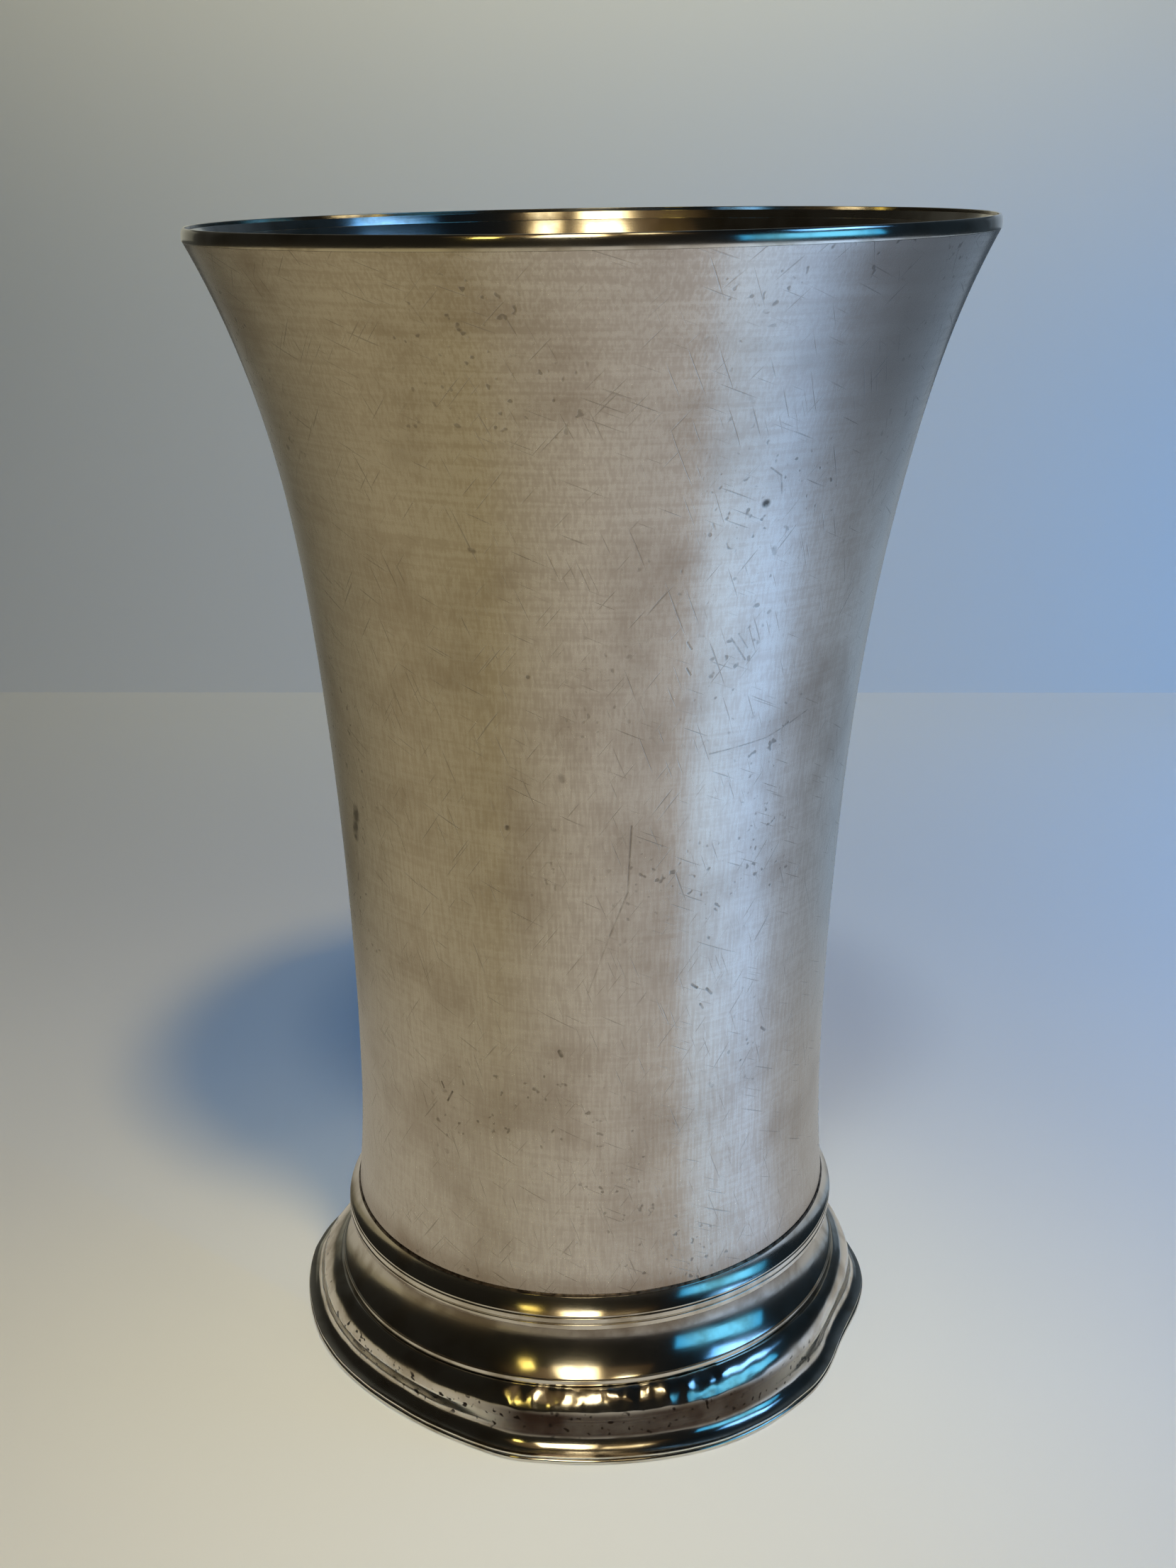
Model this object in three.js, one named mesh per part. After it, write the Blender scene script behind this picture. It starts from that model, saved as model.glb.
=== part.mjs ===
// Communion cup: a trumpet-shaped silver beaker on a low stepped foot.
// Every piece is a body of revolution about +Z. Sizes are in millimetres and the table is at z = 0.

import * as THREE from 'three';

// Wall and floor
const cupHeight = 171.2;
const mouthRadius = 55;
const waistRadius = 36.6;
const waistHeight = 43;
const baseRadius = 37.6;
const wallThickness = 0.9;
const floorThickness = 1.0;
// Share of the flare that spreads up the whole wall: the rest turns out near the mouth, by a higher power
const evenFlare = 0.635;
const mouthFlarePower = 6;

// Half-round wire that sits on the wall's top edge and stands out a little past it
const lipWireHeight = 1.7;
const lipWireWidth = 1.6;
const lipWireOverhang = 0.5;

// Collar over the joint of wall and foot: a slope, slightly hollow, that spreads down to an upright edge
const collarHeight = 2.5;
const collarSpread = 1.5;
const collarShoulder = 0.15;
const collarEdgeHeight = 0.25;
const collarHollow = 0.2;

// Upper foot moulding: two fillets with a groove between them, a cove, and a fillet below it
const stripThickness = 0.9;
const neckThickness = 1.6;
const neckFilletHeight = 0.75;
const neckGrooveHeight = 0.3;
const neckGrooveDepth = 0.35;
const coveHeight = 7.9;
const coveFlare = 3.4;
const lowerFilletHeight = 0.9;
const lowerFilletStep = 0.3;

// Ledge inside the neck, which carries the wall and the edge of the floor
const ledgeThickness = 0.75;
const floorRest = 0.9;

// Lower foot moulding: ovolo, upright band, hollow and flange
const ovoloStep = 0.4;
const ovoloHeight = 3.5;
const ovoloSwell = 2.7;
const bandHeight = 2.0;
const hollowHeight = 2.5;
const flangeSpread = 2.3;
const flangeEdgeHeight = 0.4;

// Flat wire that the cup stands on
const rimWireHeight = 0.8;
const rimWireStep = 0.2;
const rimWireRound = 0.3;

// Solder: the film between seated pieces and the legs of the three fillets
const solderFilm = 0.1;
const collarSolderHeight = 0.45;
const floorSolderLeg = 1.5;
const footSolderLeg = 0.7;

// Fineness of the facets
const turnSegments = 56;
const arcSteps = 3;
const lowerWallSteps = 3;
const upperWallSteps = 11;

// Heights, stacked from the table up
const flangeBottom = rimWireHeight + solderFilm;
const flangeTop = flangeBottom + flangeEdgeHeight;
const bandBottom = flangeTop + hollowHeight;
const bandTop = bandBottom + bandHeight;
const ovoloTop = bandTop + ovoloHeight;
const lowerFilletBottom = ovoloTop + solderFilm;
const coveBottom = lowerFilletBottom + lowerFilletHeight;
const coveTop = coveBottom + coveHeight;
const lowerNeckFilletTop = coveTop + neckFilletHeight;
const upperNeckFilletBottom = lowerNeckFilletTop + neckGrooveHeight;
const neckTop = upperNeckFilletBottom + neckFilletHeight;
const ledgeTop = coveTop + ledgeThickness;
const wallBottom = ledgeTop + solderFilm;
const floorTop = wallBottom + floorThickness;
const collarBottom = neckTop + solderFilm;
const collarTop = collarBottom + collarHeight;
const collarSolderTop = collarTop + collarSolderHeight;
const straightWallTop = Math.max(collarSolderTop, floorTop + floorSolderLeg);
const lipWireBottom = cupHeight - lipWireHeight;
const wallTop = lipWireBottom - solderFilm;

// Radii, worked outwards from the wall's lower end
const wallBoreRadius = baseRadius - wallThickness;
const floorRadius = wallBoreRadius - solderFilm;
const ledgeRadius = floorRadius - floorRest;
const sleeveRadius = baseRadius + solderFilm;
const neckRadius = sleeveRadius + neckThickness;
const coveTopRadius = ledgeRadius + stripThickness;
const coveBottomRadius = coveTopRadius + coveFlare;
const lowerFilletRadius = coveBottomRadius + lowerFilletStep;
const ovoloTopRadius = lowerFilletRadius + ovoloStep;
const bandRadius = ovoloTopRadius + ovoloSwell;
const bandBoreRadius = bandRadius - stripThickness;
const flangeRadius = bandRadius + flangeSpread;
const footRadius = flangeRadius + rimWireStep;
const lipRadius = mouthRadius + lipWireOverhang;

// The cove is an arc that leaves its top upright and flares to the fillet below.
// Its circle follows from its height and flare, and its back is a wider arc about the same centre.
const coveArcRadius = (coveFlare ** 2 + coveHeight ** 2) / (2 * coveFlare);
const coveCentreRadius = coveTopRadius + coveArcRadius;
const coveBackArcRadius = coveArcRadius + stripThickness;
const coveEndAngle = Math.PI + Math.asin(coveHeight / coveArcRadius);
const coveBackEndAngle = Math.PI + Math.asin(coveHeight / coveBackArcRadius);
const mouldingBoreRadius = coveCentreRadius + coveBackArcRadius * Math.cos(coveBackEndAngle);

// Outside of the wall at a height: straight in the collar, drawn in to the waist, then flaring to the mouth
function wallRadius(z) {
  if (z <= straightWallTop) return baseRadius;
  if (z <= waistHeight) {
    const below = (waistHeight - z) / (waistHeight - straightWallTop);
    return waistRadius + (baseRadius - waistRadius) * below ** 2;
  }
  const above = (z - waistHeight) / (wallTop - waistHeight);
  const flare = evenFlare * above ** 2 + (1 - evenFlare) * above ** mouthFlarePower;
  return waistRadius + (mouthRadius - waistRadius) * flare;
}

// Inside of the wall, with the sheet's thickness measured square to the wall
function wallBore(z) {
  if (z <= straightWallTop) return wallBoreRadius;
  const step = 0.01;
  const slope = (wallRadius(z) - wallRadius(z - step)) / step;
  return wallRadius(z) - wallThickness * Math.hypot(1, slope);
}

function evenHeights(from, to, steps) {
  return Array.from({ length: steps }, (_, i) => from + ((to - from) * (i + 1)) / steps);
}

function wallProfile() {
  const heights = [
    wallBottom,
    straightWallTop,
    ...evenHeights(straightWallTop, waistHeight, lowerWallSteps),
    ...evenHeights(waistHeight, wallTop, upperWallSteps),
  ];
  const outside = heights.map((z) => new THREE.Vector2(wallRadius(z), z));
  const inside = heights.map((z) => new THREE.Vector2(wallBore(z), z));
  return new THREE.Path(outside.concat(inside.reverse()));
}

function floorProfile() {
  return new THREE.Path()
    .moveTo(0, wallBottom)
    .lineTo(floorRadius, wallBottom)
    .lineTo(floorRadius, floorTop)
    .lineTo(0, floorTop);
}

function lipWireProfile() {
  const half = lipWireWidth / 2;
  return new THREE.Path()
    .absellipse(lipRadius - half, lipWireBottom, half, lipWireHeight, 0, Math.PI);
}

function collarProfile() {
  const edgeRadius = sleeveRadius + collarSpread;
  const edgeTop = collarBottom + collarEdgeHeight;
  const shoulderRadius = sleeveRadius + collarShoulder;
  const pullRadius = (edgeRadius + shoulderRadius) / 2 - collarHollow;
  const pullHeight = (edgeTop + collarTop) / 2 - collarHollow;
  return new THREE.Path()
    .moveTo(sleeveRadius, collarBottom)
    .lineTo(edgeRadius, collarBottom)
    .lineTo(edgeRadius, edgeTop)
    .quadraticCurveTo(pullRadius, pullHeight, shoulderRadius, collarTop)
    .lineTo(sleeveRadius, collarTop);
}

function upperMouldingProfile() {
  return new THREE.Path()
    .moveTo(mouldingBoreRadius, lowerFilletBottom)
    .lineTo(lowerFilletRadius, lowerFilletBottom)
    .lineTo(lowerFilletRadius, coveBottom)
    .absarc(coveCentreRadius, coveTop, coveArcRadius, coveEndAngle, Math.PI, true)
    .lineTo(neckRadius, coveTop)
    .lineTo(neckRadius, lowerNeckFilletTop)
    .lineTo(neckRadius - neckGrooveDepth, (lowerNeckFilletTop + upperNeckFilletBottom) / 2)
    .lineTo(neckRadius, upperNeckFilletBottom)
    .lineTo(neckRadius, neckTop)
    .lineTo(sleeveRadius, neckTop)
    .lineTo(sleeveRadius, ledgeTop)
    .lineTo(ledgeRadius, ledgeTop)
    .absarc(coveCentreRadius, coveTop, coveBackArcRadius, Math.PI, coveBackEndAngle);
}

function lowerMouldingProfile() {
  const ovoloBackSwell = ovoloSwell - stripThickness;
  const ovoloBackHeight = ovoloHeight - stripThickness;
  return new THREE.Path()
    .moveTo(bandBoreRadius, flangeBottom)
    .lineTo(flangeRadius, flangeBottom)
    .absellipse(flangeRadius, bandBottom, flangeSpread, hollowHeight, 1.5 * Math.PI, Math.PI, true)
    .absellipse(ovoloTopRadius, bandTop, ovoloSwell, ovoloHeight, 0, Math.PI / 2)
    .lineTo(mouldingBoreRadius, ovoloTop)
    .lineTo(mouldingBoreRadius, ovoloTop - stripThickness)
    .absellipse(ovoloTopRadius, bandTop, ovoloBackSwell, ovoloBackHeight, Math.PI / 2, 0, true);
}

function rimWireProfile() {
  const half = rimWireHeight / 2;
  return new THREE.Path()
    .moveTo(bandBoreRadius, 0)
    .lineTo(footRadius - rimWireRound, 0)
    .absellipse(footRadius - rimWireRound, half, rimWireRound, half, -Math.PI / 2, Math.PI / 2)
    .lineTo(bandBoreRadius, rimWireHeight);
}

function collarSolderProfile() {
  return new THREE.Path()
    .moveTo(baseRadius, collarTop)
    .lineTo(sleeveRadius + collarShoulder, collarTop)
    .lineTo(baseRadius, collarSolderTop);
}

function floorSolderProfile() {
  const top = floorTop + floorSolderLeg;
  return new THREE.Path()
    .moveTo(wallBoreRadius, floorTop)
    .lineTo(wallBoreRadius, top)
    .absarc(wallBoreRadius - floorSolderLeg, top, floorSolderLeg, 0, -Math.PI / 2, true);
}

function footSolderProfile() {
  return new THREE.Path()
    .moveTo(ledgeRadius, wallBottom)
    .lineTo(ledgeRadius - footSolderLeg, wallBottom)
    .lineTo(ledgeRadius, wallBottom - footSolderLeg);
}

// Turns a profile, drawn as radius and height, into a closed ring or disc about +Z
function turned(name, profile, color, roughness) {
  const points = profile.getPoints(arcSteps);
  if (points[0].x > 0) points.push(points[0].clone());
  const geometry = new THREE.LatheGeometry(points, turnSegments).rotateX(Math.PI / 2);
  const material = new THREE.MeshStandardMaterial({ color, roughness, metalness: 1 });
  const mesh = new THREE.Mesh(geometry, material);
  mesh.name = name;
  return mesh;
}

const satinSilver = '#b5aea6';
const polishedSilver = '#c9c2b6';
const tarnishedSolder = '#4a4038';

const bowl = new THREE.Group();
bowl.add(
  turned('body_wall', wallProfile(), satinSilver, 0.35),
  turned('floor_plate', floorProfile(), satinSilver, 0.35),
  turned('lip_wire', lipWireProfile(), polishedSilver, 0.18),
  turned('floor_solder', floorSolderProfile(), satinSilver, 0.4),
);

const foot = new THREE.Group();
foot.add(
  turned('collar_ring', collarProfile(), polishedSilver, 0.15),
  turned('collar_solder', collarSolderProfile(), tarnishedSolder, 0.55),
  turned('upper_foot_moulding', upperMouldingProfile(), polishedSilver, 0.15),
  turned('lower_foot_moulding', lowerMouldingProfile(), polishedSilver, 0.15),
  turned('foot_rim_wire', rimWireProfile(), polishedSilver, 0.2),
  turned('foot_solder', footSolderProfile(), tarnishedSolder, 0.5),
);

const cup = new THREE.Group();
cup.add(bowl, foot);

export default cup;
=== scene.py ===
# %% [markdown]
# A silver communion cup: a trumpet-shaped beaker of raised sheet on a low foot of turned mouldings.
# Everything on it is round about one upright axis. So this lesson draws half sections, turns them with
# one Geometry Nodes tree, knocks the perfect rings a little out of true, and then spends its care on old
# silver: satin on the wall, mirror on the foot, and dark tarnish where the pieces are soldered together.

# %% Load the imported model
import math

import bpy
import numpy as np
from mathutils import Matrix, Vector


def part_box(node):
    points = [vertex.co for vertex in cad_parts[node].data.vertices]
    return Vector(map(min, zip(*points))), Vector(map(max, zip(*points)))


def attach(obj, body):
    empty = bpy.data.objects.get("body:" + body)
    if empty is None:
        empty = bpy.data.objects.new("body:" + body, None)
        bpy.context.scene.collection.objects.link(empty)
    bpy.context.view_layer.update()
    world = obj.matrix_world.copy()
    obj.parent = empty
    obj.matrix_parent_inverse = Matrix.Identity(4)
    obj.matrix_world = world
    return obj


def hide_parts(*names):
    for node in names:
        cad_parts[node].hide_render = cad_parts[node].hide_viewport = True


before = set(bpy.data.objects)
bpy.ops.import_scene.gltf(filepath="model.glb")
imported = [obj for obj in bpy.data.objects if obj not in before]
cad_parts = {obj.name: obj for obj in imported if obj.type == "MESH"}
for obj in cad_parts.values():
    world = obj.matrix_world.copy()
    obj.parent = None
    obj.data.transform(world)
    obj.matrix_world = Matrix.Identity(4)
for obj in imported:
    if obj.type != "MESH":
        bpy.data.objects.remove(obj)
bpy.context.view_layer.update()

print("nodes in the frame:", sorted(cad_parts))

# %% [markdown]
# The frame is in metres, but a silversmith thinks in millimetres, so the sections below are drawn in
# millimetres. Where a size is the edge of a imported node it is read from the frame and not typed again.

# %% Sizes from the frame
MM = 0.001


def bottom(node):
    """Height of a node's underside, in millimetres."""
    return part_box(node)[0].z / MM


def top(node):
    """Height of a node's upper edge, in millimetres."""
    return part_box(node)[1].z / MM


def outside(node):
    """Outer radius of a round node, in millimetres."""
    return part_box(node)[1].x / MM


wall_bottom = bottom("body_wall")
wall_top = top("body_wall")
mouth_radius = outside("body_wall")
lip_radius = outside("lip_wire")
neck_top = top("upper_foot_moulding")
ovolo_top = top("lower_foot_moulding")
flange_bottom = bottom("lower_foot_moulding")
flange_radius = outside("lower_foot_moulding")
foot_radius = outside("foot_rim_wire")
print(f"mouth {2 * lip_radius:.1f} mm across, foot {2 * foot_radius:.1f} mm, height {top('lip_wire'):.1f} mm")

# %% [markdown]
# Blender works in linear light, while a colour given here is an sRGB hex value. One function converts
# it. A second one adds a node: it sets the node's options, fills its inputs with plain values or with
# links from other nodes, and gives back one of its outputs. Every tree in this file, for shapes and for
# finishes, is built with it.

# %% Two helpers
# The kinds of node that are used most, and the option that gives a range soft ends
MATH = "ShaderNodeMath"
VECTOR_MATH = "ShaderNodeVectorMath"
RANGE = "ShaderNodeMapRange"
SOFT = {"interpolation_type": "SMOOTHSTEP"}


def linear(hex_colour):
    """An sRGB hex colour as the linear RGBA that Blender's sockets take."""
    channels = [int(hex_colour[i:i + 2], 16) / 255 for i in (1, 3, 5)]
    return (*[c / 12.92 if c <= 0.04045 else ((c + 0.055) / 1.055) ** 2.4 for c in channels], 1.0)


def add_node(tree, kind, inputs=(), output=0, **settings):
    """Adds a node and gives back one of its outputs, or the node itself where no output is asked for.

    The inputs are a list in the order of the sockets, or a dictionary by name or number."""
    node = tree.nodes.new(kind)
    for name, value in settings.items():
        setattr(node, name, value)
    for socket, value in inputs.items() if isinstance(inputs, dict) else enumerate(inputs):
        if isinstance(value, bpy.types.NodeSocket):
            tree.links.new(value, node.inputs[socket])
        else:
            node.inputs[socket].default_value = value
    return node if output is None else node.outputs[output]


print("silver grey in linear light:", [round(c, 3) for c in linear("#c8c0b4")])

# %% [markdown]
# The camera stands a little above the rim and looks down at the cup, as in the photograph. Its place was
# found by fitting the rings of the rim and the foot: how far each ellipse opens gives height and distance.

# %% Camera
CAMERA_DISTANCE = 253.7
CAMERA_HEIGHT = 177.5
CAMERA_PITCH = 19.43
CAMERA_YAW = 0.08
LENS = 40.5
SENSOR = 36.0

camera_data = bpy.data.cameras.new("camera")
camera_data.lens = LENS
camera_data.sensor_width = SENSOR
camera = bpy.data.objects.new("camera", camera_data)
camera.location = (0, -CAMERA_DISTANCE * MM, CAMERA_HEIGHT * MM)
camera.rotation_euler = (math.radians(90 - CAMERA_PITCH), 0, math.radians(CAMERA_YAW))
bpy.context.collection.objects.link(camera)
bpy.context.scene.camera = camera
print(f"camera {CAMERA_DISTANCE:.0f} mm in front, {CAMERA_HEIGHT:.0f} mm up, {CAMERA_PITCH} degrees down")

# %% [markdown]
# A turned piece is a half section swept round the axis. Blender has a Screw modifier for that, but a
# Geometry Nodes tree shows the rule itself and keeps its sizes as named inputs. A grid has one column for
# each step of the turn and one row for each point of the section. Each grid point looks up its section
# point by row, and its column becomes an angle. Angle 0 is the front, and the angle grows to the right, as
# the camera sees it. Hand-raised silver is never quite true, so a low noise then pushes the surface in and
# out by a hair.

# %% The tree that turns a section
WELD_DISTANCE = 1e-6
TURN_INPUTS = {
    "Section": "Geometry",
    "Turn steps": "Int",
    "Closing row": "Int",
    "Unevenness": "Float",
    "Unevenness size": "Float",
    "Unevenness detail": "Float",
    "Seed": "Float",
    "Finish": "Material",
}


def turning_tree():
    """Builds the tree, and gives it back with the identifier of each input."""
    tree = bpy.data.node_groups.new("turn_section", "GeometryNodeTree")
    identifiers = {}
    for name, kind in TURN_INPUTS.items():
        socket = tree.interface.new_socket(name, in_out="INPUT", socket_type="NodeSocket" + kind)
        identifiers[name] = socket.identifier
    tree.interface.new_socket("Piece", in_out="OUTPUT", socket_type="NodeSocketGeometry")
    given = add_node(tree, "NodeGroupInput", output=None).outputs

    # The grid, with a row more than the section has points where the section is a closed loop
    count = add_node(tree, "GeometryNodeAttributeDomainSize", [given["Section"]], "Point Count")
    rows = add_node(tree, MATH, [count, given["Closing row"]], operation="ADD")
    columns = add_node(tree, MATH, [given["Turn steps"], 1.0], operation="ADD")
    grid = add_node(tree, "GeometryNodeMeshGrid", {"Vertices X": columns, "Vertices Y": rows})

    # Column and row of each grid point, from its index
    index = add_node(tree, "GeometryNodeInputIndex")
    inside_column = add_node(tree, MATH, [index, 0.5], operation="ADD")
    columns_passed = add_node(tree, MATH, [inside_column, rows], operation="DIVIDE")
    column = add_node(tree, MATH, [columns_passed], operation="FLOOR")
    column_start = add_node(tree, MATH, [column, rows], operation="MULTIPLY")
    row = add_node(tree, MATH, [index, column_start], operation="SUBTRACT")
    wrapped_row = add_node(tree, MATH, [row, count], operation="MODULO")
    section_row = add_node(tree, MATH, [wrapped_row], operation="ROUND")

    # The section point of that row, turned by the angle of that column
    position = add_node(tree, "GeometryNodeInputPosition")
    point = add_node(tree, "GeometryNodeSampleIndex",
                     {"Geometry": given["Section"], "Value": position, "Index": section_row},
                     data_type="FLOAT_VECTOR")
    section = add_node(tree, "ShaderNodeSeparateXYZ", [point], None).outputs
    turn_share = add_node(tree, MATH, [column, given["Turn steps"]], operation="DIVIDE")
    angle = add_node(tree, MATH, [turn_share, math.tau], operation="MULTIPLY")
    sine = add_node(tree, MATH, [angle], operation="SINE")
    cosine = add_node(tree, MATH, [angle], operation="COSINE")
    across = add_node(tree, MATH, [section["X"], sine], operation="MULTIPLY")
    forwards = add_node(tree, MATH, [section["X"], cosine], operation="MULTIPLY")
    backwards = add_node(tree, MATH, [forwards, -1.0], operation="MULTIPLY")
    turned_point = add_node(tree, "ShaderNodeCombineXYZ", [across, backwards, section["Z"]])
    turned = add_node(tree, "GeometryNodeSetPosition", {"Geometry": grid, "Position": turned_point})
    welded = add_node(tree, "GeometryNodeMergeByDistance", {"Geometry": turned, "Distance": WELD_DISTANCE})

    # Unevenness: noise pushes each point away from the axis or towards it
    fineness = add_node(tree, MATH, [1.0, given["Unevenness size"]], operation="DIVIDE")
    noise = add_node(tree, "ShaderNodeTexNoise", {
        "Vector": position,
        "W": given["Seed"],
        "Scale": fineness,
        "Detail": given["Unevenness detail"],
    }, noise_dimensions="4D")
    swing = add_node(tree, MATH, [noise, 0.5], operation="SUBTRACT")
    full_swing = add_node(tree, MATH, [given["Unevenness"], 2.0], operation="MULTIPLY")
    push = add_node(tree, MATH, [swing, full_swing], operation="MULTIPLY")
    x, y, _ = add_node(tree, "ShaderNodeSeparateXYZ", [position], None).outputs
    flat_place = add_node(tree, "ShaderNodeCombineXYZ", [x, y])
    outwards = add_node(tree, VECTOR_MATH, [flat_place], operation="NORMALIZE")
    offset = add_node(tree, VECTOR_MATH, {0: outwards, "Scale": push}, operation="SCALE")
    uneven = add_node(tree, "GeometryNodeSetPosition", {"Geometry": welded, "Offset": offset})

    smooth = add_node(tree, "GeometryNodeSetShadeSmooth", {"Geometry": uneven})
    real = add_node(tree, "GeometryNodeRealizeInstances", {"Geometry": smooth})
    finished = add_node(tree, "GeometryNodeSetMaterial", {"Geometry": real, "Material": given["Finish"]})
    add_node(tree, "NodeGroupOutput", {"Piece": finished}, None)
    return tree, identifiers


turn_section, turn_inputs = turning_tree()
print("inputs of the turning tree:", ", ".join(turn_inputs))

# %% [markdown]
# Old silver is knocked about. The rim is not level, the wall leans a hair, and the edge of the foot has
# flats and dents where it has been set down hard for centuries. These moves are shared by all the pieces,
# so that neighbours stay seated on each other, and the cup still stands flat on the table.

# %% Out of true
RIM_TILT = 0.95
FOOT_TILT = 1.1
TILT_STARTS = 1.0
TILT_FULL = 9.0

# The foot is soldered on a little to the left and to the front of the wall's axis
FOOT_SHIFT = (-0.5, -0.5)
FOOT_SHIFT_ENDS = (9.0, 24.0)

# The upper wall leans a hair to the right
LEAN = 0.45
LEAN_HEIGHT = 140.0
LEAN_SPREAD = 22.0

# Each knock on the edge of the foot: its place round the foot in degrees, half its width, and the push in mm
FOOT_KNOCKS = {
    "bulge on the left": (-102, 18, 1.5),
    "long flat at the front left": (-40, 21, -1.15),
    "corner left of the front": (-14, 6, 0.45),
    "swell right of the front": (26, 13, 0.5),
    "long dent on the right": (67, 12, -1.65),
    "corner on the right": (90, 7, 0.5),
    "flat at the back": (150, 22, -0.6),
    "flat at the back left": (-145, 16, -0.7),
}
KNOCK_FADES_UP = (2.5, 9.2)
KNOCK_FADES_INWARDS = (36, 42)


def ramp(values, start, end):
    """0 below start, 1 above end, and a smooth step between."""
    share = np.clip((values - start) / (end - start), 0, 1)
    return share * share * (3 - 2 * share)


def out_of_true(points):
    """Moves points, in metres, from the true rings to the worn cup."""
    x, y, z = points.T / MM
    angle = np.degrees(np.arctan2(x, -y))
    radius = np.hypot(x, y)
    push = np.zeros_like(x)
    for centre, half_width, depth in FOOT_KNOCKS.values():
        away = (angle - centre + 180) % 360 - 180
        push += depth * np.exp(-(away / half_width) ** 2)
    push *= (1 - ramp(z, *KNOCK_FADES_UP)) * ramp(radius, *KNOCK_FADES_INWARDS)
    swelled = 1 + push / np.maximum(radius, 1)
    x, y = x * swelled, y * swelled

    # The tilt turns about the right end of the lip, so nothing rises above the cup's own height
    up_the_wall = ramp(z, neck_top, wall_top)
    tilt = FOOT_TILT + (RIM_TILT - FOOT_TILT) * up_the_wall
    slope = np.tan(np.radians(tilt)) * ramp(z, TILT_STARTS, TILT_FULL)
    drop = lip_radius * np.tan(np.radians(RIM_TILT)) * up_the_wall
    lean = LEAN * np.exp(-((z - LEAN_HEIGHT) / LEAN_SPREAD) ** 2)
    at_foot = 1 - ramp(z, *FOOT_SHIFT_ENDS)
    moved_x = x + lean + FOOT_SHIFT[0] * at_foot
    moved_y = y + FOOT_SHIFT[1] * at_foot
    moved_z = z + x * slope - drop
    return np.column_stack((moved_x, moved_y, moved_z)) * MM


print("knocks on the foot:", ", ".join(FOOT_KNOCKS))

# %% [markdown]
# Sections are short lists of points in millimetres, radius first and height second, drawn up the outside
# and down the inside so that the faces point outwards. Arcs come from one function and free curves from
# another. A third rounds every sharp corner a little, because polishing wears edges and only a rounded
# edge catches the light.

# %% Section tools
ARC_STEPS = 14
CORNER_STEPS = 4
SHARP_TURN = math.radians(25)


def arc(centre_radius, centre_height, half_width, half_height, start, end, steps=ARC_STEPS):
    """Points along part of an ellipse, from the start angle to the end angle in degrees."""
    angles = [math.radians(start + (end - start) * i / steps) for i in range(steps + 1)]
    return [(centre_radius + half_width * math.cos(a), centre_height + half_height * math.sin(a))
            for a in angles]


def bow(start, pull, end, steps=ARC_STEPS):
    """Points along a curve between two points that bends towards a third, all of them vectors."""
    shares = [i / steps for i in range(steps + 1)]
    return [start * (1 - t) ** 2 + pull * 2 * t * (1 - t) + end * t ** 2 for t in shares]


def softened(section, wear, closed=True):
    """The section with each sharp corner replaced by a small round of about the given radius."""
    points = [Vector(p) for p in section]
    result = []
    for i, corner in enumerate(points):
        at_end = not closed and i in (0, len(points) - 1)
        into = corner - points[i - 1]
        out = points[(i + 1) % len(points)] - corner
        if at_end or into.angle(out) < SHARP_TURN:
            result.append(corner)
            continue
        cut = min(wear * math.tan(into.angle(out) / 2), 0.45 * into.length, 0.45 * out.length)
        start = corner - into.normalized() * cut
        end = corner + out.normalized() * cut
        result += bow(start, corner, end, CORNER_STEPS)
    return result


square = [(1, 0), (2, 0), (2, 1), (1, 1)]
print("a square section has", len(softened(square, 0.1)), "points once its corners are worn")

# %% [markdown]
# Every piece goes the same way. Its corners are worn, the tree turns its section, and the result of the
# tree becomes a plain mesh, because the export keeps meshes and not modifiers. Then the mesh is knocked
# out of true and takes the place of its CAD node.

# %% From a section to a finished piece
TURN_STEPS = 360
SHARP_EDGE = math.radians(50)
TRUE_FACE = (0.0, 10, 0.0)


def turned_piece(name, section, finish, node, wear=0.08, closed=True, uneven=TRUE_FACE, seed=1):
    """Turns a section about the axis, wears it, and puts it in the place of its CAD node.

    Uneven is the depth of the unevenness and its size, in millimetres, and its detail."""
    outline = softened(section, wear, closed)
    mesh = bpy.data.meshes.new(name + "_section")
    edges = [(i, i + 1) for i in range(len(outline) - 1)]
    mesh.from_pydata([(r * MM, 0, z * MM) for r, z in outline], edges, [])
    piece = bpy.data.objects.new(name, mesh)
    bpy.context.collection.objects.link(piece)

    turning = piece.modifiers.new("turn", "NODES")
    turning.node_group = turn_section
    depth, size, detail = uneven
    values = {
        "Turn steps": TURN_STEPS,
        "Closing row": int(closed),
        "Unevenness": depth * MM,
        "Unevenness size": size * MM,
        "Unevenness detail": detail,
        "Seed": float(seed),
        "Finish": finish,
    }
    for label, value in values.items():
        turning[turn_inputs[label]] = value
    evaluated = piece.evaluated_get(bpy.context.evaluated_depsgraph_get())
    solid = bpy.data.meshes.new_from_object(evaluated)
    piece.modifiers.remove(turning)
    piece.data = solid
    bpy.data.meshes.remove(mesh)
    solid.name = name

    points = np.empty(len(solid.vertices) * 3)
    solid.vertices.foreach_get("co", points)
    solid.vertices.foreach_set("co", out_of_true(points.reshape(-1, 3)).ravel())
    solid.set_sharp_from_angle(angle=SHARP_EDGE)
    solid.update()

    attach(piece, "root")
    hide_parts(node)
    print(f"{name}: {len(outline)} points in its section, {len(solid.polygons)} faces")
    return piece


print("each piece is turned in", TURN_STEPS, "steps")

# %% [markdown]
# Silver is one of the whitest metals, but three centuries of rubbing and air leave it a warm grey. Its
# looks come from a few patterns that the finishes share: hairlines, which are noise drawn out one way, and
# clouds of tarnish, which are even noise. Both take their sizes in millimetres. A finish then lays colours
# over the bare metal, one after another. Rubbing round the cup spreads each reflection up and down, and
# the anisotropic gloss of the shader gives that.

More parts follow.
